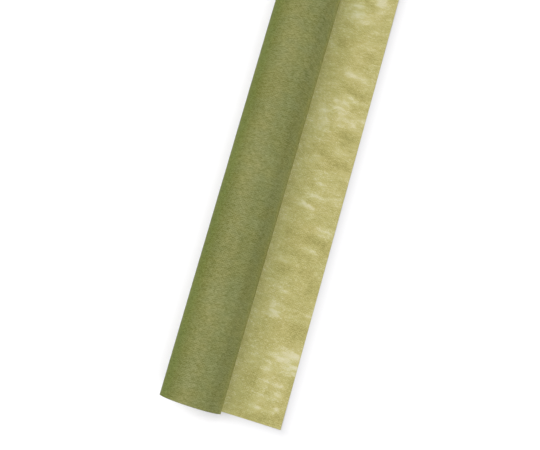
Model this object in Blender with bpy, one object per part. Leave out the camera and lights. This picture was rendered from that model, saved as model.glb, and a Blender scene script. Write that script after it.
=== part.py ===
"""A roll of nonwoven fabric lying on its side, with its loose end laid out flat in front of it.

Metres, +Z up. X runs along the roll, the loose end lies towards -Y, and the origin is the middle of
the foot of the whole thing.
"""

import math
from collections import namedtuple

import bmesh
import bpy

# Driving dimensions
CLOTH_WIDTH = 1.180
ROLL_RADIUS = 0.0454
LOOSE_REACH = 0.1195
SHEET_THICKNESS = 0.0010
CLEARANCE = 0.0003
FLAT_SPOT_SAG = 0.0023

# The roll was wound a little askew: how much further along its back lies than its middle
END_SKEW = 0.0016

# How finely the round outline and the sheet are divided
OUTLINE_STEPS = 112
SHEET_STEPS_ALONG = 48
SHEET_STEPS_OUT = 9

# One turn further in, the cloth lies above the sheet that leaves under the roll
TURN_STEP = SHEET_THICKNESS + CLEARANCE

# The roll's axis, from the middle of the foot of the box around roll and sheet
BACK_REACH = ROLL_RADIUS - TURN_STEP / 4
AXIS_Y = (LOOSE_REACH - BACK_REACH) / 2
AXIS_Z = ROLL_RADIUS - FLAT_SPOT_SAG

# The roll is thickest at its middle and a little uneven: share of the width, and swell
Section = namedtuple("Section", "along swell")
SECTIONS = (
    Section(0.000, -0.0021),
    Section(0.012, -0.0020),
    Section(0.090, -0.0016),
    Section(0.200, -0.0011),
    Section(0.310, -0.0008),
    Section(0.420, -0.0004),
    Section(0.500, 0.0000),
    Section(0.580, -0.0002),
    Section(0.700, -0.0008),
    Section(0.810, -0.0010),
    Section(0.920, -0.0016),
    Section(0.988, -0.0018),
    Section(1.000, -0.0020),
)

# The wound ends are a little dished: share of the radius, and depth behind the rim
EndRing = namedtuple("EndRing", "reach depth")
END_RINGS = (
    EndRing(0.94, 0.0000),
    EndRing(0.90, 0.0006),
    EndRing(0.62, 0.0012),
    EndRing(0.34, 0.0018),
    EndRing(0.12, 0.0026),
)
END_EYE_DEPTH = 0.0050

# Where the outer edge of the loose end stands off the floor: share of the width, height, spread
EdgeLift = namedtuple("EdgeLift", "along height spread")
EDGE_LIFTS = (
    EdgeLift(0.00, 0.0014, 0.050),
    EdgeLift(0.26, 0.0008, 0.080),
    EdgeLift(0.55, 0.0016, 0.100),
    EdgeLift(0.81, 0.0010, 0.060),
    EdgeLift(1.00, 0.0024, 0.070),
)
LIFT_START = 0.075

ROLL_COLOUR = (0.245, 0.255, 0.085, 1.0)
SHEET_COLOUR = (0.480, 0.440, 0.190, 1.0)
CLOTH_ROUGHNESS = 0.9


def clear_scene():
    """Removes whatever the scene holds."""
    for old in list(bpy.data.objects):
        bpy.data.objects.remove(old)


def cloth_material(name, colour):
    """A rough, non-metallic cloth in one colour."""
    material = bpy.data.materials.new(name)
    material.use_nodes = True
    shader = material.node_tree.nodes["Principled BSDF"]
    shader.inputs["Base Color"].default_value = colour
    shader.inputs["Roughness"].default_value = CLOTH_ROUGHNESS
    shader.inputs["Metallic"].default_value = 0.0
    return material


def add_object(name, mesh_builder, material):
    """Links one named object made of a bmesh, with its faces pointing outwards."""
    bmesh.ops.recalc_face_normals(mesh_builder, faces=mesh_builder.faces)
    mesh = bpy.data.meshes.new(name)
    mesh_builder.to_mesh(mesh)
    mesh_builder.free()
    mesh.materials.append(material)
    mesh.shade_smooth()
    mesh.set_sharp_from_angle(angle=math.radians(35))
    made = bpy.data.objects.new(name, mesh)
    bpy.context.scene.collection.objects.link(made)
    return made


def wound_outline(swell):
    """(y, z) points of the roll's section, once round from the foot, seen with +Y first.

    The outline is one turn of a spiral. It starts on the floor, where the loose end leaves it, and
    ends one turn further in, above the loose end. Its own weight flattens the foot.
    """
    points = []
    for step in range(OUTLINE_STEPS + 1):
        share = step / OUTLINE_STEPS
        angle = share * math.tau
        radius = ROLL_RADIUS + swell - TURN_STEP * share
        foot = 0.0 if share < 0.5 else TURN_STEP
        y = AXIS_Y + radius * math.sin(angle)
        z = max(AXIS_Z - radius * math.cos(angle), foot)
        points.append((y, z))
    return points


def shrunk(points, reach):
    """The outline drawn in towards the roll's axis."""
    return [(AXIS_Y + (y - AXIS_Y) * reach, AXIS_Z + (z - AXIS_Z) * reach) for y, z in points]


def build_wound_roll(material):
    """The wound cloth as one closed body, a little askew, with dished ends."""
    builder = bmesh.new()
    half = CLOTH_WIDTH / 2

    def ring(x, points):
        skewed = [(x + END_SKEW * (y - AXIS_Y) / ROLL_RADIUS, y, z) for y, z in points]
        return [builder.verts.new(point) for point in skewed]

    def end_rings(side, swell):
        outline = wound_outline(swell)
        return [ring(side * (half - row.depth), shrunk(outline, row.reach)) for row in END_RINGS]

    first, last = SECTIONS[0], SECTIONS[-1]
    body = [ring((row.along - 0.5) * CLOTH_WIDTH, wound_outline(row.swell)) for row in SECTIONS]
    rings = end_rings(-1, first.swell)[::-1] + body + end_rings(1, last.swell)
    for here, there in zip(rings, rings[1:]):
        count = len(here)
        for i in range(count):
            j = (i + 1) % count
            builder.faces.new((here[i], here[j], there[j], there[i]))
    for side, edge in ((-1, rings[0]), (1, rings[-1])):
        eye = builder.verts.new((side * (half - END_EYE_DEPTH), AXIS_Y, AXIS_Z))
        for i, vertex in enumerate(edge):
            builder.faces.new((vertex, edge[(i + 1) % len(edge)], eye))
    return add_object("wound_roll", builder, material)


def edge_lift(x, out):
    """How high the sheet's underside is at x, at a distance out from the roll's axis."""
    share = max(0.0, (out - LIFT_START) / (LOOSE_REACH - LIFT_START))
    ramp = share * share * (3 - 2 * share)
    if ramp == 0.0:
        return 0.0
    rise = 0.0
    for row in EDGE_LIFTS:
        away = (x - (row.along - 0.5) * CLOTH_WIDTH) / row.spread
        rise += row.height * math.exp(-away * away)
    return rise * ramp


def build_loose_end(material):
    """The single layer of cloth that leaves under the roll and lies on the floor."""
    builder = bmesh.new()
    flat_rows = [CLEARANCE, LIFT_START]
    curved_rows = [
        LIFT_START + (LOOSE_REACH - LIFT_START) * step / SHEET_STEPS_OUT
        for step in range(1, SHEET_STEPS_OUT + 1)
    ]
    out_rows = flat_rows + curved_rows
    under, upper = [], []
    for step in range(SHEET_STEPS_ALONG + 1):
        x = (step / SHEET_STEPS_ALONG - 0.5) * CLOTH_WIDTH
        lifts = [(AXIS_Y - out, edge_lift(x, out)) for out in out_rows]
        under.append([builder.verts.new((x, y, z)) for y, z in lifts])
        upper.append([builder.verts.new((x, y, z + SHEET_THICKNESS)) for y, z in lifts])
    columns = len(out_rows)
    for i in range(SHEET_STEPS_ALONG):
        for j in range(columns - 1):
            for layer in (under, upper):
                builder.faces.new(
                    (layer[i][j], layer[i + 1][j], layer[i + 1][j + 1], layer[i][j + 1])
                )
        for j in (0, columns - 1):
            builder.faces.new((under[i][j], under[i + 1][j], upper[i + 1][j], upper[i][j]))
    for i in (0, SHEET_STEPS_ALONG):
        for j in range(columns - 1):
            builder.faces.new((under[i][j], under[i][j + 1], upper[i][j + 1], upper[i][j]))
    return add_object("loose_end", builder, material)


def main():
    """Builds the roll and its loose end."""
    clear_scene()
    build_wound_roll(cloth_material("wound_cloth", ROLL_COLOUR))
    build_loose_end(cloth_material("single_layer_cloth", SHEET_COLOUR))


main()
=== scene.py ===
"""The looks of a roll of nonwoven fabric with its loose end laid out flat.

Everything is in metres, +Z up. X runs along the roll, and the loose end lies towards -Y. The cloth is
one length: a distance "wound" along it is counted from the cut end of the loose end.
"""

from __future__ import annotations

import logging
import math
from collections.abc import Iterator
from contextlib import contextmanager
from dataclasses import dataclass
from enum import Enum
from typing import Union

import bmesh
import bpy
import numpy as np
from mathutils import Matrix, Vector

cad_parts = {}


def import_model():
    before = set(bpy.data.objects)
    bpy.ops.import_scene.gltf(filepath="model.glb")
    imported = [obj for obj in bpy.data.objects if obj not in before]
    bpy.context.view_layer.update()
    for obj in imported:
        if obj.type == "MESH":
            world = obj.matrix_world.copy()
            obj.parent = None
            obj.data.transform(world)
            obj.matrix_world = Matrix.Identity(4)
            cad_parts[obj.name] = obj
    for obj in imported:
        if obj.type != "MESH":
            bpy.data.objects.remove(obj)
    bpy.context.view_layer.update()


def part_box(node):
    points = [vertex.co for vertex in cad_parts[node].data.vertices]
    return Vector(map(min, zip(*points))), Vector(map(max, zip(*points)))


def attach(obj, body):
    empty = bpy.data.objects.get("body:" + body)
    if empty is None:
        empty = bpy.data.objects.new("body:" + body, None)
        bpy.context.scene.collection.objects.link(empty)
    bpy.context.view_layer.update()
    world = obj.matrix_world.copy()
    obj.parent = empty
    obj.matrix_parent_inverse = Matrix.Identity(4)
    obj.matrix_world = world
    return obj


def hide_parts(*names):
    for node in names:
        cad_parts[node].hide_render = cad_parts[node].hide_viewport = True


LOG = logging.getLogger("nonwoven_roll")

# What the frame's solids were made with and a box around them does not tell
SOLID_CLEARANCE = 0.0003
SOLID_TURN_STEP = 0.0013

CLOTH_MAP = "cloth"
TURN_MAP = "turns"
THIN_PLACES = "thin_places"

# Where a colour Mix node has its factor, its two colours and its result
MIX_FACTOR, MIX_ONE, MIX_OTHER, MIX_RESULT = 0, 6, 7, 2


class Side(Enum):
    """Which end of the roll a piece is at, as a sign along X."""

    SEEN = -1
    FAR = 1


@dataclass(frozen=True)
class RollForm:
    """Where the wound cloth lies, read from the frame, and how it was wound."""

    axis_y: float
    axis_z: float
    radius: float
    half_width: float
    reach: float
    pitch: float = 0.00042
    end_skew: float = 0.0016
    end_taper: float = 0.0019
    steps_per_turn: int = 128

    @classmethod
    def from_frame(cls) -> RollForm:
        """Reads the roll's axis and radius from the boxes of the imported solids.

        Returns:
            The form of the wound roll.
        """
        _, roll_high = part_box("wound_roll")
        loose_low, loose_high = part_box("loose_end")
        axis_y = loose_high.y + SOLID_CLEARANCE
        radius = roll_high.y - axis_y + SOLID_TURN_STEP / 4
        return cls(
            axis_y=axis_y,
            axis_z=roll_high.z - radius + SOLID_TURN_STEP / 2,
            radius=radius,
            half_width=(loose_high.x - loose_low.x) / 2,
            reach=axis_y - loose_low.y,
        )

    @property
    def end_radius(self) -> float:
        """The roll's radius at its two ends."""
        return self.radius - self.end_taper


Number = Union["Field", float]
Given = dict[Union[int, str], object]


class Field:
    """A number or vector in a node tree that can be reckoned with like a plain number."""

    def __init__(self, pen: NodePen, socket: bpy.types.NodeSocket) -> None:
        """Keeps the tree's pen and the socket that gives the value."""
        self.pen = pen
        self.socket = socket

    def __add__(self, other: Number) -> Field:
        """This plus the other."""
        return self.pen.math("ADD", self, other)

    def __radd__(self, other: Number) -> Field:
        """The other plus this."""
        return self.pen.math("ADD", other, self)

    def __sub__(self, other: Number) -> Field:
        """This less the other."""
        return self.pen.math("SUBTRACT", self, other)

    def __rsub__(self, other: Number) -> Field:
        """The other less this."""
        return self.pen.math("SUBTRACT", other, self)

    def __mul__(self, other: Number) -> Field:
        """This times the other."""
        return self.pen.math("MULTIPLY", self, other)

    def __truediv__(self, other: Number) -> Field:
        """This divided by the other."""
        return self.pen.math("DIVIDE", self, other)

    def __pow__(self, other: Number) -> Field:
        """This to the power of the other."""
        return self.pen.math("POWER", self, other)


@dataclass(frozen=True)
class Stop:
    """A colour and where it is on a ramp."""

    at: float
    colour: tuple[float, float, float]


class NodePen:
    """Writes nodes and their links into one tree."""

    def __init__(self, tree: bpy.types.NodeTree) -> None:
        """Keeps the tree that is written to."""
        self.tree = tree

    def node(self, kind: str, **settings: object) -> bpy.types.Node:
        """Adds a node.

        Args:
            kind: the node's type name.
            settings: properties to set on it.

        Returns:
            The new node.
        """
        made = self.tree.nodes.new(kind)
        for name, value in settings.items():
            setattr(made, name, value)
        return made

    def feed(self, node: bpy.types.Node, given: Given) -> None:
        """Gives a node's inputs a field's link or a plain value each.

        Args:
            node: the node.
            given: what its inputs get, by name or number.
        """
        for key, value in given.items():
            if isinstance(value, Field):
                self.tree.links.new(value.socket, node.inputs[key])
            else:
                node.inputs[key].default_value = value

    def step(self, kind: str, given: Given, out: int | str = 0, **settings: object) -> Field:
        """Adds a node, feeds it and reads one of its outputs.

        Args:
            kind: the node's type name.
            given: what its inputs get, by name or number.
            out: the output's name or number.
            settings: properties to set on it.

        Returns:
            The output.
        """
        made = self.node(kind, **settings)
        self.feed(made, given)
        return Field(self, made.outputs[out])

    def math(self, operation: str, *values: Number, clamp: bool = False) -> Field:
        """Reckons one number from one, two or three others.

        Args:
            operation: the Math node's operation.
            values: its inputs, in order.
            clamp: whether the result is kept between 0 and 1.

        Returns:
            The result.
        """
        given = dict(enumerate(values))
        return self.step("ShaderNodeMath", given, operation=operation, use_clamp=clamp)

    def sine(self, angle: Number) -> Field:
        """The sine of an angle in radians."""
        return self.math("SINE", angle)

    def cosine(self, angle: Number) -> Field:
        """The cosine of an angle in radians."""
        return self.math("COSINE", angle)

    def larger(self, one: Number, other: Number) -> Field:
        """The larger of two numbers."""
        return self.math("MAXIMUM", one, other)

    def size(self, value: Number) -> Field:
        """A number without its sign."""
        return self.math("ABSOLUTE", value)

    def remap(
        self, value: Number, low: float, high: float, to_low: float = 0.0, to_high: float = 1.0
    ) -> Field:
        """Carries a range over to another one, softly and without going past its ends.

        Args:
            value: the number to carry over.
            low: where the first range starts.
            high: where it ends.
            to_low: what low becomes.
            to_high: what high becomes.

        Returns:
            The number in the second range.
        """
        given = {"Value": value, "From Min": low, "From Max": high, "To Min": to_low, "To Max": to_high}
        return self.step("ShaderNodeMapRange", given, interpolation_type="SMOOTHSTEP")

    def vector(self, x: Number, y: Number, z: Number = 0.0) -> Field:
        """Puts three numbers together."""
        return self.step("ShaderNodeCombineXYZ", {"X": x, "Y": y, "Z": z})

    def split(self, vector: Field) -> tuple[Field, Field, Field]:
        """Takes a vector apart into its three numbers."""
        first = self.step("ShaderNodeSeparateXYZ", {0: vector})
        return tuple(Field(self, socket) for socket in first.socket.node.outputs)

    def noise(self, at: Field, detail: float = 2.0, rough: float = 0.5) -> Field:
        """Soft random values between 0 and 1 around 0.5.

        Args:
            at: where the noise is read, in lumps.
            detail: how many finer layers are added.
            rough: how strong the finer layers are.

        Returns:
            The noise.
        """
        given = {"Vector": at, "Scale": 1.0, "Detail": detail, "Roughness": rough}
        return self.step("ShaderNodeTexNoise", given, noise_dimensions="3D")

    def ramp(self, value: Number, stops: tuple[Stop, ...]) -> Field:
        """Gives each value the colour that its neighbouring stops lead to.

        Args:
            value: the number that is looked up, between 0 and 1.
            stops: the colours and where they are, in order.

        Returns:
            The colour.
        """
        made = self.node("ShaderNodeValToRGB")
        made.color_ramp.interpolation = "LINEAR"
        elements = made.color_ramp.elements
        for element, stop in zip(elements, (stops[0], stops[-1])):
            element.position = stop.at
            element.color = stop.colour + (1.0,)
        for stop in stops[1:-1]:
            elements.new(stop.at).color = stop.colour + (1.0,)
        self.feed(made, {0: value})
        return Field(self, made.outputs[0])

    def multiply_colour(self, colour: Field, painted_tone: Field) -> Field:
        """Multiplies a colour by another, such as a change of hue or painted light and shade."""
        return self.blend(1.0, colour, painted_tone, "MULTIPLY")

    def blend(self, factor: Number, one: object, other: object, way: str = "MIX") -> Field:
        """Brings two colours together.

        Args:
            factor: 0 for the first colour and 1 for the second.
            one: the first colour.
            other: the second colour.
            way: how the second colour acts on the first.

        Returns:
            The colour.
        """
        given = {MIX_FACTOR: factor, MIX_ONE: one, MIX_OTHER: other}
        settings = {"data_type": "RGBA", "blend_type": way, "clamp_factor": True}
        return self.step("ShaderNodeMix", given, MIX_RESULT, **settings)

    def bump(self, height: Field) -> Field:
        """Tilts the surface after a height in metres."""
        return self.step("ShaderNodeBump", {"Strength": 1.0, "Distance": 1.0, "Height": height})


Colour = tuple[float, float, float, float]


@dataclass(frozen=True)
class Lumps:
    """Soft random lumps on the cloth: how long they are along the roll and round it, the layer of the
    noise that they are read in, and how far from its middle its values are cut off.
    """

    length: float
    girth: float
    layer: float
    spread: float
    detail: float = 2.0
    rough: float = 0.6

    def on(self, pen: NodePen, along: Field, wound: Field) -> Field:
        """The lumps at a place on the cloth, from 0 to 1, slanting as its fibres do."""
        at = pen.vector((along - wound * FIBRE_SLANT) / self.length, wound / self.girth, self.layer)
        return pen.remap(pen.noise(at, self.detail, self.rough), 0.5 - self.spread, 0.5 + self.spread)


# How far the fibres go along the roll for each step round it, and the directions and size of single ones
FIBRE_SLANT = 0.08
FIBRE_ANGLES = (1.15, 1.4, 1.6, 1.95)
FIBRE_LENGTH = 0.009
FIBRE_WIDTH = 0.0011

# The noise values between which a single fibre rises, and the waves' sums between which a point does
FIBRE_SPAN = (0.54, 0.68)
BOND_SPAN = (-0.4, 1.7)

# The strands that a thin place breaks up into, and the slow changes of hue
STRANDS = Lumps(0.0070, 0.0240, 23.9, 0.20, detail=1.0, rough=0.5)
MOTTLES = Lumps(0.020, 0.032, 31.5, 0.18)

# The mean of the single fibres' and of the pressed points' pattern, and how much the points show
# where the clouds are thinnest
FIBRE_MEAN = 0.35
BOND_MEAN = 0.33
BOND_FLOOR = 0.4

# How high fibres and web stand, how deep a pressed point lies, and how high a cut edge's fuzz is
FIBRE_HEIGHT = 0.00008
WEB_HEIGHT = 0.00016
BOND_SINK = 0.00012
FUZZ_HEIGHT = 0.00015

# How much thinner the cloth is in a thin place, how much strands change it, and how much they break
# up a thin place: much before the first X of the span and little after the second
THIN_DEPTH = 0.46
STRAND_DEPTH = 0.09
BROKEN_SPAN = (-0.27, -0.17)
BROKEN_DEPTH = (0.40, 0.12)

# How the grain fades from thick places to thin ones, and the densities between which alpha rises
GRAIN_FADE = (-0.2, 0.5, 1.2, 0.4)
SHEER_SPAN = (0.25, 0.65)

# How far a cut edge takes on the colour of thick cloth, and where that starts and ends
EDGE_DARKENING = 0.3
EDGE_SPAN = (0.0002, 0.0014)


@dataclass(frozen=True)
class Nonwoven:
    """How point-bonded nonwoven cloth looks at real scale.

    Attributes:
        name: the material's name.
        densities: colours from where the fibres lie thin to where they lie thick.
        painted_light_tones: painted light and shade that multiply the colour over the span, 1 for no change.
        span: the stretch of cloth that the painted light and shade are spread over, in metres from the cut
            end.
        cloud_depth: how much the slow clouds change the density. The other depths are like it.
        clouds: slow thick and thin places.
        web: the fine web between the clouds and the fibres.
        mottles: the hues that the cloth changes between, 1 for no change.
        has_thin_places: whether the mesh says where the cloth is thin.
        sheer: the alpha of thin and of thick places, or None if nothing shows through.
        bond_pitch: from one pressed point to the next one, across the slanting rows.
        gloss: the tint of the fibres' reflections.
    """

    name: str
    densities: tuple[Stop, ...]
    painted_light_tones: tuple[Stop, ...]
    span: tuple[float, float]
    mottles: tuple[Stop, ...]
    cloud_depth: float
    web_depth: float
    fibre_depth: float
    bond_depth: float
    clouds: Lumps
    web: Lumps
    has_thin_places: bool = False
    sheer: tuple[float, float] | None = None
    bond_pitch: float = 0.0026
    roughness: float = 0.52
    specular: float = 0.4
    gloss: Colour = (1.0, 0.9, 0.4, 1.0)

    def material(self, form: RollForm) -> bpy.types.Material:
        """Makes the material.

        Args:
            form: the roll that the cloth is on, which says where its edges are.

        Returns:
            The material, which reads the cloth's own map in metres.
        """
        made = bpy.data.materials.new(self.name)
        made.use_nodes = True
        pen = NodePen(made.node_tree)
        shader = made.node_tree.nodes["Principled BSDF"]
        along, wound, _ = pen.split(pen.step("ShaderNodeUVMap", {}, uv_map=CLOTH_MAP))

        web = self.web.on(pen, along, wound)
        bonds = self.bonds(pen, along, wound)
        fibres = self.fibres(pen, along, wound)
        clouds = self.clouds.on(pen, along, wound)
        grain = (web - 0.5) * self.web_depth + (fibres - FIBRE_MEAN) * self.fibre_depth
        grain = grain + (bonds - BOND_MEAN) * (clouds + BOND_FLOOR) * self.bond_depth
        density = 0.5 + (clouds - 0.5) * self.cloud_depth
        if self.has_thin_places:
            thin = pen.step("ShaderNodeAttribute", {}, "Fac", attribute_name=THIN_PLACES)
            strands = STRANDS.on(pen, along, wound) - 0.5
            broken = pen.remap(along, *BROKEN_SPAN, *BROKEN_DEPTH)
            density = density - thin * (strands * broken + THIN_DEPTH) - strands * STRAND_DEPTH
            grain = grain * pen.remap(thin, *GRAIN_FADE)
        density = pen.math("ADD", density, grain, clamp=True)

        # Painted light and shade along the wound cloth, lighter and darker by where light falls on it
        start, end = self.span
        painted_tone = pen.ramp((wound - start) / (end - start), self.painted_light_tones)
        mottle = pen.ramp(MOTTLES.on(pen, along, wound), self.mottles)
        colour = pen.multiply_colour(pen.multiply_colour(pen.ramp(density, self.densities), painted_tone), mottle)
        edge = self.edge(pen, along, wound, form) * EDGE_DARKENING
        height = fibres * FIBRE_HEIGHT + web * WEB_HEIGHT - bonds * BOND_SINK
        look = {
            "Base Color": pen.blend(edge, colour, self.densities[-1].colour + (1.0,)),
            "Roughness": self.roughness,
            "Specular IOR Level": self.specular,
            "Specular Tint": self.gloss,
            "Normal": pen.bump(height),
        }
        if self.sheer is not None:
            look["Alpha"] = pen.remap(density, *SHEER_SPAN, *self.sheer)
        pen.feed(shader, look)
        return made

    def bonds(self, pen: NodePen, along: Field, wound: Field) -> Field:
        """Small pressed points in slanting rows, 1 at a point's middle and 0 between points."""
        turn = math.tau / (self.bond_pitch * math.sqrt(2.0))
        return pen.remap(pen.cosine((along + wound) * turn) + pen.cosine((along - wound) * turn), *BOND_SPAN)

    def fibres(self, pen: NodePen, along: Field, wound: Field) -> Field:
        """Single fibres, most of them lying round the roll.

        Args:
            pen: writes the nodes.
            along: the distance along the roll.
            wound: the distance wound.

        Returns:
            1 on a fibre and 0 beside it.
        """
        together = None
        for number, angle in enumerate(FIBRE_ANGLES):
            length_way = along * math.cos(angle) + wound * math.sin(angle)
            cross_way = wound * math.cos(angle) - along * math.sin(angle)
            at = pen.vector(length_way / FIBRE_LENGTH, cross_way / FIBRE_WIDTH, 5.1 + 2.3 * number)
            streak = pen.remap(pen.noise(at, detail=1.0, rough=0.4), *FIBRE_SPAN)
            together = streak if together is None else pen.larger(together, streak)
        return together

    def edge(self, pen: NodePen, along: Field, wound: Field, form: RollForm) -> Field:
        """1 right at a cut edge of the cloth, 0 a little way in."""
        near = pen.math("MINIMUM", form.half_width - pen.size(along), wound)
        return pen.remap(near, *EDGE_SPAN, 1.0, 0.0)


@dataclass(frozen=True)
class CutEdges:
    """How the stacked cut edges of the wound turns look.

    Attributes:
        rib: the colour of an edge's crest.
        groove: the colour between two edges, a painted shade darker than the crests.
        slow: how many slow changes of tone there are in a turn.
        fuzz: how many tufts of fibre there are round a turn and across its edge.
        crest: where an edge's crest ends and where its groove starts, from its middle.
        painted_light_tones: how light a crest is at least over the painted shade of the groove, and what
            slow changes and tufts add.
    """

    name: str
    rib: Colour
    groove: Colour
    slow: float = 1.3
    fuzz: tuple[float, float] = (90.0, 2.0)
    crest: tuple[float, float] = (0.16, 0.50)
    painted_light_tones: tuple[float, float, float] = (0.45, 0.35, 0.35)

    def material(self) -> bpy.types.Material:
        """Makes the material, which reads the turns' own map.

        Returns:
            The material.
        """
        made = bpy.data.materials.new(self.name)
        made.use_nodes = True
        pen = NodePen(made.node_tree)
        shader = made.node_tree.nodes["Principled BSDF"]
        turn, phase, _ = pen.split(pen.step("ShaderNodeUVMap", {}, uv_map=TURN_MAP))
        slow = pen.noise(pen.vector(turn * self.slow, phase * self.slow, 2.1))
        fuzz = pen.noise(pen.vector(turn * self.fuzz[0], phase * self.fuzz[1], 7.4), detail=3.0, rough=0.6)
        # Painted shade in the groove between two edges; the crest is lighter, with slow changes and tufts
        crest = pen.remap(pen.size(phase - 0.5), *self.crest, 1.0, 0.0)
        least, by_slow, by_fuzz = self.painted_light_tones
        painted_tone = crest * (least + slow * by_slow + fuzz * by_fuzz)
        look = {
            "Base Color": pen.blend(painted_tone, self.groove, self.rib),
            "Roughness": 0.85,
            "Specular IOR Level": 0.2,
            "Normal": pen.bump(fuzz * FUZZ_HEIGHT),
        }
        pen.feed(shader, look)
        return made


def stand(name: str, data: bpy.types.ID) -> bpy.types.Object:
    """Puts a mesh, lamp or camera into the scene.

    Args:
        name: the object's name.
        data: the mesh, lamp or camera.

    Returns:
        The object.
    """
    made = bpy.data.objects.new(name, data)
    bpy.context.scene.collection.objects.link(made)
    return made


@contextmanager
def reworked(mesh: bpy.types.Mesh) -> Iterator[bmesh.types.BMesh]:
    """Opens a mesh for changes and writes it back with its faces pointing outwards.

    Args:
        mesh: the mesh.

    Yields:
        The mesh as it can be changed.
    """
    work = bmesh.new()
    work.from_mesh(mesh)
    yield work
    bmesh.ops.recalc_face_normals(work, faces=work.faces)
    work.to_mesh(mesh)
    work.free()


class ShapeTree:
    """A Geometry Nodes tree that turns a flat grid into a shape by a rule."""

    def __init__(self, name: str, sizes: dict[str, float]) -> None:
        """Starts the tree with one named input for each size.

        Args:
            name: the tree's name.
            sizes: the inputs' names and values.
        """
        self.tree = bpy.data.node_groups.new(name, "GeometryNodeTree")
        self.tree.interface.new_socket("Mesh", in_out="INPUT", socket_type="NodeSocketGeometry")
        self.identifiers = {}
        for size_name in sizes:
            socket = self.tree.interface.new_socket(size_name, in_out="INPUT", socket_type="NodeSocketFloat")
            self.identifiers[size_name] = socket.identifier
        self.tree.interface.new_socket("Mesh", in_out="OUTPUT", socket_type="NodeSocketGeometry")
        self.sizes = sizes
        self.pen = NodePen(self.tree)
        self.given = self.pen.node("NodeGroupInput")
        self.end = self.pen.node("NodeGroupOutput")

    def size(self, name: str) -> Field:
        """A named input as a field."""
        return Field(self.pen, self.given.outputs[name])

    def grid(self, columns: int, rows: int, wide: float, deep: float) -> tuple[Field, Field, Field]:
        """Adds the flat grid that the shape is made from.

        Args:
            columns: points in the first direction.
            rows: points in the second direction.
            wide: what the first coordinate runs to, from 0.
            deep: what the second coordinate runs to, from 0.

        Returns:
            The grid, and its two coordinates.
        """
        sizes = {"Size X": wide, "Size Y": deep, "Vertices X": columns, "Vertices Y": rows}
        made = self.pen.step("GeometryNodeMeshGrid", sizes, "Mesh")
        x, y, _ = self.pen.split(self.pen.step("GeometryNodeInputPosition", {}))
        return made, x + wide / 2, y + deep / 2

    def place(self, mesh: Field, at: Field, map_name: str, map_at: Field) -> Field:
        """Stores a map on the grid and then moves its points.

        Args:
            mesh: the grid.
            at: where each point goes.
            map_name: the map's name.
            map_at: each corner's place in the map.

        Returns:
            The shape.
        """
        given = {"Geometry": mesh, "Name": map_name, "Value": map_at}
        kind = {"data_type": "FLOAT2", "domain": "CORNER"}
        stored = self.pen.step("GeometryNodeStoreNamedAttribute", given, **kind)
        return self.pen.step("GeometryNodeSetPosition", {"Geometry": stored, "Position": at})

    def grow(self, name: str, shape: Field, material: bpy.types.Material, weld: float) -> bpy.types.Object:
        """Welds the shape, runs the tree and keeps its result as a plain mesh.

        Args:
            name: the new object's name.
            shape: what the tree makes.
            material: the material of the object's only slot.
            weld: how far apart points may be to become one.

        Returns:
            The object, at the origin.
        """
        welded = self.pen.step("GeometryNodeMergeByDistance", {"Geometry": shape, "Distance": weld})
        real = self.pen.step("GeometryNodeRealizeInstances", {"Geometry": welded})
        dressed = self.pen.step("GeometryNodeSetMaterial", {"Geometry": real, "Material": material})
        self.pen.feed(self.end, {0: dressed})
        seed = stand(name + "_seed", bpy.data.meshes.new(name + "_seed"))
        modifier = seed.modifiers.new("shape", "NODES")
        modifier.node_group = self.tree
        for size_name, value in self.sizes.items():
            modifier[self.identifiers[size_name]] = value
        graph = bpy.context.evaluated_depsgraph_get()
        mesh = bpy.data.meshes.new_from_object(seed.evaluated_get(graph), depsgraph=graph)
        mesh.name = name
        bpy.data.objects.remove(seed)
        mesh.materials.clear()
        mesh.materials.append(material)
        return stand(name, mesh)


def smooth(piece: bpy.types.Object, sharp_degrees: float) -> None:
    """Shades a piece smooth but for its sharp edges."""
    piece.data.shade_smooth()
    piece.data.set_sharp_from_angle(angle=math.radians(sharp_degrees))


def hand_over(piece: bpy.types.Object, node: str) -> None:
    """Lets a finished piece ride on the root body in a node's place.

    Args:
        piece: the finished piece.
        node: the frame's node that it stands for.
    """
    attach(piece, "root")
    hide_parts(node)
    triangles = sum(len(face.vertices) - 2 for face in piece.data.polygons)
    LOG.info("%s: %d triangles", piece.name, triangles)


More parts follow.
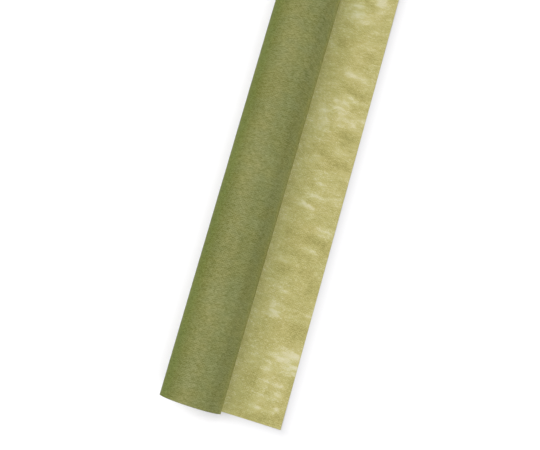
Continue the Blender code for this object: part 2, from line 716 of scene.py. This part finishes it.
@dataclass
class WoundRoll:
    """The wound cloth: its outer layer from end to end, and the stacked turns at both ends."""

    form: RollForm
    cloth: Nonwoven
    edges: CutEdges
    skin_columns: int = 330
    unevenness: float = 0.00035
    lumps_along: float = 42.0
    lumps_round: float = 1.1
    calm_from: float = 0.93
    press_power: float = 4.0
    layer_share: float = 0.86
    recess: float = 0.013
    plug_depth: float = 0.012
    eye_radius: float = 0.0016
    eye_narrowing: float = 0.4
    eye_throat: float = 0.002
    eye_depth: float = 0.006
    groove_depth: float = 0.0008
    drift: float = 0.0005
    dish: float = 0.0022
    dish_power: float = 0.7
    skin_weld: float = 0.00001
    turns_weld: float = 0.000004
    skin_sharp_degrees: float = 30.0
    turns_sharp_degrees: float = 60.0

    def build(self) -> list[bpy.types.Object]:
        """Builds all pieces of the wound cloth.

        Returns:
            The pieces, ready to ride.
        """
        return [self.skin(), self.turns(Side.SEEN), self.turns(Side.FAR)]

    def flattened(self, pen: NodePen, turn: Field, radius: Field, outer: Field) -> tuple[Field, Field]:
        """Puts a point of a layer round the roll's axis, with the foot pressed flat.

        Args:
            pen: writes the nodes.
            turn: how many turns the point is from the foot where the loose end leaves.
            radius: the point's distance from the axis before pressing.
            outer: the outermost layer's radius there.

        Returns:
            The point's y and z.
        """
        angle = turn * math.tau
        down = pen.cosine(angle)
        sunk = pen.larger(outer * down - self.form.axis_z, 0.0)
        press = sunk * (radius / outer) ** self.press_power
        y = self.form.axis_y + radius * pen.sine(angle)
        z = self.form.axis_z - radius * down + press
        return y, z

    def skin(self) -> bpy.types.Object:
        """The outermost layer, a closed body with a shallow recess at each end for the turns.

        Returns:
            The piece.
        """
        form = self.form
        material = self.cloth.material(form)
        shape = ShapeTree(
            "outer layer",
            {
                "Width": 2 * form.half_width,
                "Radius": form.radius,
                "End Taper": form.end_taper,
                "Pitch": form.pitch,
                "Skew": form.end_skew,
                "Unevenness": self.unevenness,
            },
        )
        pen = shape.pen
        steps = form.steps_per_turn
        grid, across, around = shape.grid(self.skin_columns, steps + 2, 1.0, (steps + 1) / steps)
        turn = around * pen.math("LESS_THAN", around, 1.0 + 0.5 / steps)
        width = shape.size("Width")
        x = (across - 0.5) * width
        outward = pen.size(across - 0.5) * 2.0
        bulge = shape.size("Radius") - shape.size("End Taper") * outward
        sine, cosine = pen.sine(turn * math.tau), pen.cosine(turn * math.tau)
        uneven_at = pen.vector(x * self.lumps_along, sine * self.lumps_round, cosine * self.lumps_round)
        lumps = (pen.noise(uneven_at) - 0.5) * shape.size("Unevenness")
        calm_end = pen.remap(outward, self.calm_from, 1.0, 1.0, 0.0)
        outer = bulge + lumps * calm_end
        radius = outer - shape.size("Pitch") * turn
        y, z = self.flattened(pen, turn, radius, outer)
        skewed = x + shape.size("Skew") * (y - form.axis_y) / form.radius
        wound = form.reach + around * (math.tau * form.radius)
        solid = shape.place(grid, pen.vector(skewed, y, z), CLOTH_MAP, pen.vector(x, wound))
        piece = shape.grow("outer_layer", solid, material, self.skin_weld)
        self.close_skin(piece)
        smooth(piece, self.skin_sharp_degrees)
        return piece

    def close_skin(self, piece: bpy.types.Object) -> None:
        """Turns both open ends in by one layer and closes them with a recess.

        Args:
            piece: the open tube, which is changed.
        """
        with reworked(piece.data) as work:
            for side in Side:
                open_edges = [edge for edge in work.edges if edge.is_boundary]
                rim = [edge for edge in open_edges if edge.verts[0].co.x * side.value > 0]
                inner = self.drawn_in(work, rim, self.form.pitch * self.layer_share, 0.0)
                floor = self.drawn_in(work, inner, 0.0, -side.value * self.recess)
                self.fill(work, floor, side, self.recess)

    def drawn_in(
        self, work: bmesh.types.BMesh, rim: list[bmesh.types.BMEdge], inward: float, along: float
    ) -> list[bmesh.types.BMEdge]:
        """Extrudes a ring of edges towards the roll's axis and along it.

        Args:
            work: the mesh that is changed.
            rim: the ring's edges.
            inward: how far the new ring lies towards the axis.
            along: how far it lies along X.

        Returns:
            The new ring's edges.
        """
        made = bmesh.ops.extrude_edge_only(work, edges=rim)["geom"]
        points = [part for part in made if isinstance(part, bmesh.types.BMVert)]
        for point in points:
            spoke = self.spoke(point)
            share = max(0.0, 1.0 - inward / spoke.length)
            axis = Vector((point.co.x + along, self.form.axis_y, self.form.axis_z))
            point.co = axis + spoke * share
        return [part for part in made if isinstance(part, bmesh.types.BMEdge) and part.is_boundary]

    def turns(self, side: Side) -> bpy.types.Object:
        """The stacked edges of the turns at one end, as one spiral with a groove between turns.

        Args:
            side: which end.

        Returns:
            The piece.
        """
        form = self.form
        material = self.edges.material()
        count = int((form.end_radius - self.eye_radius) / form.pitch) - 1
        shape = ShapeTree(
            "spiral turns",
            {
                "Outer Radius": form.end_radius,
                "Pitch": form.pitch,
                "Groove Depth": self.groove_depth,
                "Drift": self.drift,
                "Dish": self.dish,
                "End": side.value * form.half_width,
                "Skew": form.end_skew,
            },
        )
        pen = shape.pen
        grid, around, phase = shape.grid(count * form.steps_per_turn + 1, 4, float(count), 1.0)
        turn = around + 1.0
        layer = turn + phase
        outer = shape.size("Outer Radius")
        radius = outer - shape.size("Pitch") * layer
        y, z = self.flattened(pen, turn, radius, outer)
        share = radius / form.end_radius
        groove = shape.size("Groove Depth") * pen.size(phase * 2.0 - 1.0) ** 2.0
        slow = pen.noise(pen.vector(layer * 0.9, 0.0, 4.0 + side.value), detail=1.0) - 0.5
        quick = pen.noise(pen.vector(layer * 7.0, 3.0, 9.0 + side.value), detail=2.0) - 0.5
        calm_rim = pen.remap(layer, 1.0, 4.0)
        drift = shape.size("Drift") * (slow * 2.2 + quick * 0.8) * calm_rim
        dish = shape.size("Dish") * (1.0 - share) ** self.dish_power
        back = groove + dish - drift
        skew = shape.size("Skew") * (y - form.axis_y) / form.radius
        x = shape.size("End") - back * float(side.value) + skew
        solid = shape.place(grid, pen.vector(x, y, z), TURN_MAP, pen.vector(turn, phase))
        piece = shape.grow(f"turn_edges_{side.name.lower()}", solid, material, self.turns_weld)
        self.close_turns(piece, side)
        smooth(piece, self.turns_sharp_degrees)
        return piece

    def close_turns(self, piece: bpy.types.Object, side: Side) -> None:
        """Closes the spiral with a small sunk eye in the middle and a plug behind it.

        Args:
            piece: the open spiral face, which is changed.
            side: which end it is at.
        """
        halfway = self.form.end_radius / 2
        narrower = self.eye_radius * self.eye_narrowing
        with reworked(piece.data) as work:
            open_edges = [edge for edge in work.edges if edge.is_boundary]
            outer = [edge for edge in open_edges if self.spoke(edge.verts[0]).length > halfway]
            inner = [edge for edge in open_edges if edge not in outer]
            back = self.drawn_in(work, outer, 0.0, -side.value * self.plug_depth)
            self.fill(work, back, side, self.plug_depth)
            eye = self.drawn_in(work, inner, narrower, -side.value * self.eye_throat)
            self.fill(work, eye, side, self.eye_depth)

    def spoke(self, point: bmesh.types.BMVert) -> Vector:
        """The way from the roll's axis straight out to a point."""
        return Vector((0.0, point.co.y - self.form.axis_y, point.co.z - self.form.axis_z))

    def fill(
        self, work: bmesh.types.BMesh, ring: list[bmesh.types.BMEdge], side: Side, depth: float
    ) -> None:
        """Closes a ring of edges with faces that meet on the roll's axis.

        Args:
            work: the mesh that is changed.
            ring: the ring's edges.
            side: which end it is at.
            depth: how far behind the cloth's own end the faces meet.
        """
        form = self.form
        middle = work.verts.new((side.value * (form.half_width - depth), form.axis_y, form.axis_z))
        for edge in ring:
            work.faces.new((edge.verts[0], edge.verts[1], middle))


@dataclass(frozen=True)
class ThinPlace:
    """A soft spot of the cloth where its fibres lie thinner than around it.

    Attributes:
        along: its middle, in metres from the seen end.
        out: its middle, in metres from the roll's axis.
        length: how far it reaches along the roll.
        width: how far it reaches across.
        depth: how thin it is, or below 0 how thick.
    """

    along: float
    out: float
    length: float
    width: float
    depth: float

    def field(self, along: np.ndarray, out: np.ndarray, lean: np.ndarray) -> np.ndarray:
        """What the spot adds at each point.

        Args:
            along: each point's distance from the seen end.
            out: its distance from the roll's axis.
            lean: how far a spot slants there, along the roll for each step out.

        Returns:
            The thinness that it adds.
        """
        across = (out - self.out) / self.width
        lengthwise = (along - self.along + (out - self.out) * lean) / self.length
        return self.depth * np.exp(-(across**2) - lengthwise**2)


# Thin places of the loose end and, below 0, thick ones: middle along and out, length and width in whole
# millimetres, and depth.
PLACES_BY_HAND = (
    (6, 88, 8, 20, -0.60), (14, 111, 6, 8, -0.35), (22, 103, 4, 10, 0.70), (31, 78, 6, 10, 0.55),
    (31, 105, 4, 9, -0.35), (41, 102, 5, 10, 0.60), (42, 90, 5, 8, -0.40), (72, 80, 8, 11, 0.90),
    (81, 115, 9, 10, 0.95), (90, 103, 8, 10, 0.70), (80, 55, 10, 8, 0.40), (91, 73, 12, 16, 0.25),
    (98, 94, 9, 12, 0.45), (101, 114, 6, 7, 0.60), (103, 68, 6, 7, -0.35), (126, 105, 9, 13, -0.45),
    (149, 66, 4, 12, 0.80), (181, 74, 5, 11, 0.50), (194, 108, 14, 12, -0.50), (215, 64, 8, 10, -0.40),
    (216, 95, 7, 10, -0.40), (235, 91, 8, 12, -0.40), (238, 56, 7, 9, -0.40), (247, 92, 6, 13, 0.40),
    (240, 73, 8, 10, -0.35), (256, 109, 12, 10, -0.65), (262, 89, 8, 12, -0.60), (265, 56, 9, 9, -0.40),
    (275, 104, 8, 17, 0.40), (342, 70, 7, 10, -0.50), (325, 107, 8, 12, 0.30), (363, 112, 6, 10, 0.55),
    (371, 56, 5, 8, 0.35), (381, 67, 6, 9, 0.55), (409, 100, 8, 9, -0.30), (432, 58, 18, 10, 0.35),
    (437, 84, 8, 10, 0.50), (433, 107, 7, 9, 0.60), (449, 105, 5, 8, 0.60), (446, 117, 12, 6, 0.30),
    (454, 55, 8, 9, 0.50), (463, 73, 7, 9, 0.70), (466, 85, 6, 9, 0.80), (475, 93, 7, 11, 0.65),
    (472, 110, 6, 8, 0.40), (478, 104, 9, 11, -0.65), (487, 86, 7, 11, -0.60), (508, 98, 7, 12, 0.55),
    (513, 77, 6, 10, 0.65), (533, 88, 5, 9, 0.40), (556, 55, 9, 10, -0.50),
)

# Like places that were drawn too small, and by how much their length and width are enlarged
SMALL_PLACES = (
    (18, 79, 3, 8, 0.80), (50, 60, 5, 7, -0.35), (53, 80, 5, 8, 0.50), (55, 104, 4, 9, 0.50),
    (62, 117, 12, 4, -0.45), (68, 64, 6, 7, -0.45), (138, 107, 6, 10, -0.40), (155, 116, 9, 5, 0.30),
    (161, 62, 7, 8, 0.40), (227, 60, 5, 10, 0.60), (307, 74, 4, 6, 0.80), (310, 59, 6, 8, 0.40),
    (315, 74, 3, 9, -0.45), (323, 78, 5, 10, 0.45), (345, 77, 6, 11, 0.45), (374, 107, 5, 8, -0.55),
    (379, 92, 4, 9, -0.40), (390, 69, 6, 8, -0.45), (396, 96, 5, 11, 0.30), (419, 96, 6, 10, -0.60),
    (448, 88, 6, 9, 0.45), (461, 98, 5, 7, -0.45), (524, 98, 4, 6, -0.30), (541, 101, 5, 8, -0.55),
    (555, 92, 6, 10, 0.40),
)
GROWTH = (1.3, 1.25)

# Added before a size is cut to whole millimetres, so that a half counts up
ROUNDING = 0.501


def place_by_hand(row: tuple[float, ...], longer: float = 1.0, wider: float = 1.0) -> ThinPlace:
    """A place from its row in one of the tables above.

    Args:
        row: the row.
        longer: by how much its length is enlarged, to whole millimetres again.
        wider: by how much its width is.

    Returns:
        The place, in metres.
    """
    along, out, length, width, depth = row
    length, width = math.floor(length * longer + ROUNDING), math.floor(width * wider + ROUNDING)
    return ThinPlace(along / 1000, out / 1000, length / 1000, width / 1000, depth)


@dataclass
class LooseEnd:
    """The single layer of cloth that leaves under the roll and lies flat.

    Attributes:
        lifts: where its outer edge stands off the surface: the share of the cloth's width, how high the
            edge stands, and how far along this reaches.
    """

    form: RollForm
    cloth: Nonwoven
    thickness: float = 0.0004
    step: float = 0.0022
    lift_start: float = 0.075
    lifts: tuple[tuple[float, float, float], ...] = (
        (0.00, 0.0014, 0.050),
        (0.26, 0.0008, 0.080),
        (0.55, 0.0016, 0.100),
        (0.81, 0.0010, 0.060),
        (1.00, 0.0024, 0.070),
    )
    scattered_from: float = 0.580
    scattered: int = 44
    scattered_out: float = 0.056
    scattered_lengths: tuple[float, float] = (0.005, 0.013)
    scattered_widths: tuple[float, float] = (0.009, 0.019)
    scattered_depths: tuple[float, float] = (0.35, 0.65)
    steepness: float = 0.95
    sharp_degrees: float = 40.0
    lean_near: float = -0.17
    lean_far: float = 0.43

    def thinness(self, along: np.ndarray, out: np.ndarray) -> np.ndarray:
        """How thin the cloth is, from the places listed and from like ones scattered further on.

        Args:
            along: X of each point.
            out: its distance from the roll's axis.

        Returns:
            Each point's thinness, 0 where the cloth is as thick as on the whole.
        """
        from_end = along + self.form.half_width
        wobble = 0.0007 * np.sin(from_end * 610.0 + out * 330.0)
        sway = 0.0006 * np.sin(out * 540.0 + from_end * 170.0)
        chance = np.random.default_rng(11)
        places = [place_by_hand(row) for row in PLACES_BY_HAND]
        places += [place_by_hand(row, *GROWTH) for row in SMALL_PLACES]
        for _ in range(self.scattered):
            middle = chance.uniform(self.scattered_from, 2 * self.form.half_width)
            outward = chance.uniform(self.scattered_out, self.form.reach)
            length = chance.uniform(*self.scattered_lengths)
            width = chance.uniform(*self.scattered_widths)
            depth = chance.uniform(*self.scattered_depths) * chance.choice((-1.0, 1.0))
            places.append(ThinPlace(middle, outward, length, width, depth))
        lean = np.interp(from_end, (0.0, 0.5), (self.lean_near, self.lean_far))
        total = sum(place.field(from_end + sway, out + wobble, lean) for place in places)
        return np.tanh(self.steepness * total)

    def height(self, along: np.ndarray, out: np.ndarray) -> np.ndarray:
        """How high the underside of the cloth lies.

        Args:
            along: X of each point.
            out: its distance from the roll's axis, towards -Y.

        Returns:
            Each point's height.
        """
        share = np.clip((out - self.lift_start) / (self.form.reach - self.lift_start), 0.0, 1.0)
        ramp = share * share * (3 - 2 * share)
        rise = np.zeros_like(along)
        for place, height, spread in self.lifts:
            away = (along - (place - 0.5) * 2 * self.form.half_width) / spread
            rise += height * np.exp(-away * away)
        return rise * ramp

    def build(self) -> bpy.types.Object:
        """Builds the sheet as a closed thin body with its map.

        Returns:
            The piece.
        """
        form = self.form
        columns = round(2 * form.half_width / self.step) + 1
        rows = round(form.reach / self.step) + 1
        along, out = np.meshgrid(
            np.linspace(-form.half_width, form.half_width, columns),
            np.linspace(SOLID_CLEARANCE, form.reach, rows),
            indexing="ij",
        )
        under = np.stack([along, form.axis_y - out, self.height(along, out)], axis=-1).reshape(-1, 3)
        upper = under + np.array((0.0, 0.0, self.thickness))
        index = np.arange(columns * rows).reshape(columns, rows)
        quads = np.stack([index[:-1, :-1], index[1:, :-1], index[1:, 1:], index[:-1, 1:]], -1).reshape(-1, 4)
        shift = columns * rows
        border = np.concatenate([index[:, 0], index[-1, 1:], index[-2::-1, -1], index[0, -2:0:-1]])
        following = np.roll(border, -1)
        walls = np.stack([border, following, following + shift, border + shift], -1)
        faces = np.concatenate([quads, quads[:, ::-1] + shift, walls]).tolist()
        mesh = bpy.data.meshes.new("loose_end_cloth")
        mesh.from_pydata(np.concatenate([under, upper]).tolist(), [], faces)
        self.add_map(mesh)
        thin = self.thinness(along, out).reshape(-1)
        layer = mesh.attributes.new(THIN_PLACES, "FLOAT", "POINT")
        layer.data.foreach_set("value", np.concatenate([thin, thin]).astype(np.float32))
        mesh.materials.append(self.cloth.material(form))
        with reworked(mesh):
            piece = stand("loose_end_cloth", mesh)
        smooth(piece, self.sharp_degrees)
        return piece

    def add_map(self, mesh: bpy.types.Mesh) -> None:
        """Gives each corner its place on the cloth, in metres along the roll and from the cut end.

        Args:
            mesh: the sheet's mesh, which is changed.
        """
        layer = mesh.uv_layers.new(name=CLOTH_MAP)
        corners = np.zeros(len(mesh.loops), np.int32)
        mesh.loops.foreach_get("vertex_index", corners)
        places = np.zeros(len(mesh.vertices) * 3, np.float32)
        mesh.vertices.foreach_get("co", places)
        places = places.reshape(-1, 3)[corners]
        wound = places[:, 1] - (self.form.axis_y - self.form.reach)
        layer.data.foreach_set("uv", np.stack([places[:, 0], wound], -1).astype(np.float32).ravel())


@dataclass(frozen=True)
class Lamp:
    """A soft lamp so far away that it lights every place alike.

    Attributes:
        name: what it is called.
        strength: how bright it makes white cloth that faces it, 1 for white.
        lean: how far it stands from overhead towards +Y, in degrees.
        spread: how wide it looks, in degrees.
    """

    name: str
    strength: float
    lean: float
    spread: float

    def hang(self) -> None:
        """Adds the lamp to the scene."""
        lamp = bpy.data.lights.new(self.name, "SUN")
        lamp.energy = self.strength * math.pi
        lamp.angle = math.radians(self.spread)
        stand(self.name, lamp).rotation_euler = (-math.radians(self.lean), 0.0, 0.0)


@dataclass(frozen=True)
class Studio:
    """A pale floor, soft light from above and a camera at the photograph's viewing angle.

    Attributes:
        floor_drop: how far the floor lies below what is on it.
        sky_strength: how bright the even sky is as a light.
        shade_depth: how dark the painted shadow on the floor is right beside the sheet.
        shade_reach: how far out this shade has faded to a third.
        shade_inset: how deep the shade's level middle is, from the sheet's edge towards the back.
        end_fade: how much faster the shade fades past the ends than past the sheet.
        backdrop: how bright the sky looks to the camera.
        camera_turn: how far the camera is turned about its line of sight, in degrees.
        focal_pixels: its focal length in pixels of the photograph.
    """

    form: RollForm
    floor_size: float = 12.0
    floor_drop: float = 0.0002
    floor_tone: tuple[float, float, float] = (0.937, 0.932, 0.948)
    sky_strength: float = 0.12
    shade_depth: float = 0.35
    shade_reach: float = 0.025
    shade_inset: float = 0.09
    end_fade: float = 1.4
    backdrop: float = 1.1
    lamps: tuple[Lamp, ...] = (
        Lamp("front", 0.88, -32.0, 65.0),
        Lamp("top", 0.26, 5.0, 25.0),
        Lamp("back", 0.30, 35.0, 80.0),
    )
    camera_place: tuple[float, float, float] = (-0.5099, -0.4077, 1.1917)
    camera_aim: tuple[float, float, float] = (-0.3201, 0.0135, 0.0)
    camera_turn: float = -51.19
    focal_pixels: float = 893.3
    image_width: float = 540.0
    sensor: float = 36.0

    def build(self) -> None:
        """Adds the floor, the light and the camera."""
        self.add_floor()
        self.add_light()
        self.add_camera()
        bpy.context.scene.view_settings.view_transform = "Standard"

    def add_floor(self) -> None:
        """Adds the pale floor just under what lies on it, with a painted shadow round the loose end."""
        half = self.floor_size / 2
        mesh = bpy.data.meshes.new("floor")
        corners = [(-half, -half), (half, -half), (half, half), (-half, half)]
        mesh.from_pydata([(x, y, -self.floor_drop) for x, y in corners], [], [(0, 1, 2, 3)])
        material = bpy.data.materials.new("pale_floor")
        material.use_nodes = True
        pen = NodePen(material.node_tree)
        shader = material.node_tree.nodes["Principled BSDF"]
        # The floor's even colour, darkened by the painted shadow round the loose end
        shade = self.shade(pen)
        painted_tone = pen.vector(*(shade * part for part in self.floor_tone))
        pen.feed(shader, {"Base Color": painted_tone, "Roughness": 0.9, "Specular IOR Level": 0.0})
        mesh.materials.append(material)
        stand("floor", mesh)

    def shade(self, pen: NodePen) -> Field:
        """The painted shadow on the floor round the loose end.

        Args:
            pen: writes the nodes.

        Returns:
            1 where there is no shade, and less where there is.
        """
        x, y, _ = pen.split(pen.step("ShaderNodeTexCoord", {}, "Object"))
        outer = self.form.axis_y - self.form.reach
        beside = pen.larger(pen.size(x) - self.form.half_width, 0.0) * self.end_fade
        beyond = pen.larger(pen.size(y - (outer + self.shade_inset / 2)) - self.shade_inset / 2, 0.0)
        away = pen.math("SQRT", beside * beside + beyond * beyond)
        return 1.0 - pen.math("EXPONENT", away * (-1.0 / self.shade_reach)) * self.shade_depth

    def add_light(self) -> None:
        """Adds a faint even sky, which the camera sees as white, and the lamps."""
        world = bpy.data.worlds.new("studio")
        world.use_nodes = True
        pen = NodePen(world.node_tree)
        seen = pen.step("ShaderNodeLightPath", {}, "Is Camera Ray")
        strength = seen * (self.backdrop - self.sky_strength) + self.sky_strength
        white = (1.0, 1.0, 1.0, 1.0)
        pen.feed(world.node_tree.nodes["Background"], {"Color": white, "Strength": strength})
        bpy.context.scene.world = world
        for lamp in self.lamps:
            lamp.hang()

    def add_camera(self) -> None:
        """Adds the camera, turned about its own line of sight as the photograph is."""
        data = bpy.data.cameras.new("photo_view")
        data.sensor_width = self.sensor
        data.lens = self.focal_pixels / self.image_width * self.sensor
        data.clip_start = 0.05
        camera = stand("photo_view", data)
        sight = Vector(self.camera_aim) - Vector(self.camera_place)
        level = sight.to_track_quat("-Z", "Y").to_matrix().to_4x4()
        turned = Matrix.Rotation(math.radians(self.camera_turn), 4, "Z")
        camera.matrix_world = Matrix.Translation(self.camera_place) @ level @ turned
        bpy.context.scene.camera = camera


ROLL_CLOTH = Nonwoven(
    name="nonwoven_many_layers",
    densities=(
        Stop(0.00, (0.359, 0.357, 0.158)),
        Stop(0.75, (0.146, 0.156, 0.043)),
        Stop(1.00, (0.095, 0.104, 0.024)),
    ),
    # Painted light and shade round the roll, from the foot over the back to the front: greener down the back
    # flank, palest on the top, darkest on the front flank above the loose end, and lighter below that as a
    # painted bounce from the loose end
    painted_light_tones=(
        Stop(0.00, (0.90, 0.92, 0.90)),
        Stop(0.25, (0.87, 0.92, 0.80)),
        Stop(0.36, (0.80, 0.94, 0.52)),
        Stop(0.40, (0.80, 0.91, 0.64)),
        Stop(0.44, (0.84, 0.87, 0.77)),
        Stop(0.50, (0.98, 0.97, 1.04)),
        Stop(0.54, (0.93, 0.92, 1.00)),
        Stop(0.58, (0.82, 0.84, 0.88)),
        Stop(0.61, (0.82, 0.84, 0.88)),
        Stop(0.66, (0.71, 0.73, 0.72)),
        Stop(0.71, (0.87, 0.89, 0.88)),
        Stop(0.76, (1.17, 1.16, 1.05)),
        Stop(1.00, (0.92, 0.94, 0.90)),
    ),
    span=(0.120, 0.408),
    mottles=(
        Stop(0.0, (1.00, 0.98, 0.91)),
        Stop(1.0, (0.97, 0.99, 1.02)),
    ),
    cloud_depth=0.075,
    web_depth=0.385,
    fibre_depth=0.20,
    bond_depth=0.13,
    clouds=Lumps(0.080, 0.160, 3.7, 0.22),
    web=Lumps(0.0012, 0.0034, 11.3, 0.24, detail=3.0, rough=0.75),
    specular=0.04,
)
LOOSE_CLOTH = Nonwoven(
    name="nonwoven_single_layer",
    densities=(
        Stop(0.00, (0.960, 0.930, 0.690)),
        Stop(0.25, (0.890, 0.855, 0.545)),
        Stop(0.38, (0.735, 0.693, 0.335)),
        Stop(0.50, (0.612, 0.565, 0.238)),
        Stop(0.75, (0.466, 0.434, 0.165)),
        Stop(1.00, (0.370, 0.345, 0.120)),
    ),
    # Painted light on the loose end: lighter and greener next to the roll, where the roll shades it
    painted_light_tones=(
        Stop(0.00, (0.72, 0.71, 0.68)),
        Stop(0.32, (0.72, 0.71, 0.67)),
        Stop(0.52, (0.65, 0.66, 0.61)),
        Stop(0.60, (0.72, 0.74, 0.69)),
        Stop(0.70, (0.89, 0.93, 0.90)),
        Stop(0.75, (1.03, 1.08, 1.07)),
    ),
    span=(0.0, 0.120),
    mottles=(
        Stop(0.0, (0.960, 0.944, 0.935)),
        Stop(1.0, (0.942, 0.950, 0.945)),
    ),
    cloud_depth=0.12,
    web_depth=0.31,
    fibre_depth=0.17,
    bond_depth=0.14,
    clouds=Lumps(0.014, 0.030, 3.7, 0.22),
    web=Lumps(0.0019, 0.0029, 11.3, 0.24, detail=3.0, rough=0.75),
    has_thin_places=True,
    sheer=(0.80, 0.95),
)
EDGE_FINISH = CutEdges(
    name="nonwoven_cut_edges",
    rib=(0.205, 0.212, 0.076, 1.0),
    # the groove's colour is painted shade between the edges
    groove=(0.055, 0.060, 0.018, 1.0),
)


def main() -> None:
    """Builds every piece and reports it."""
    logging.basicConfig(level=logging.INFO, format="%(name)s: %(message)s")
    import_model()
    form = RollForm.from_frame()
    for piece in WoundRoll(form, ROLL_CLOTH, EDGE_FINISH).build():
        hand_over(piece, "wound_roll")
    loose = LooseEnd(form, LOOSE_CLOTH)
    sheet = loose.build()
    hand_over(sheet, "loose_end")
    Studio(form).build()


if __name__ == "__main__":
    main()
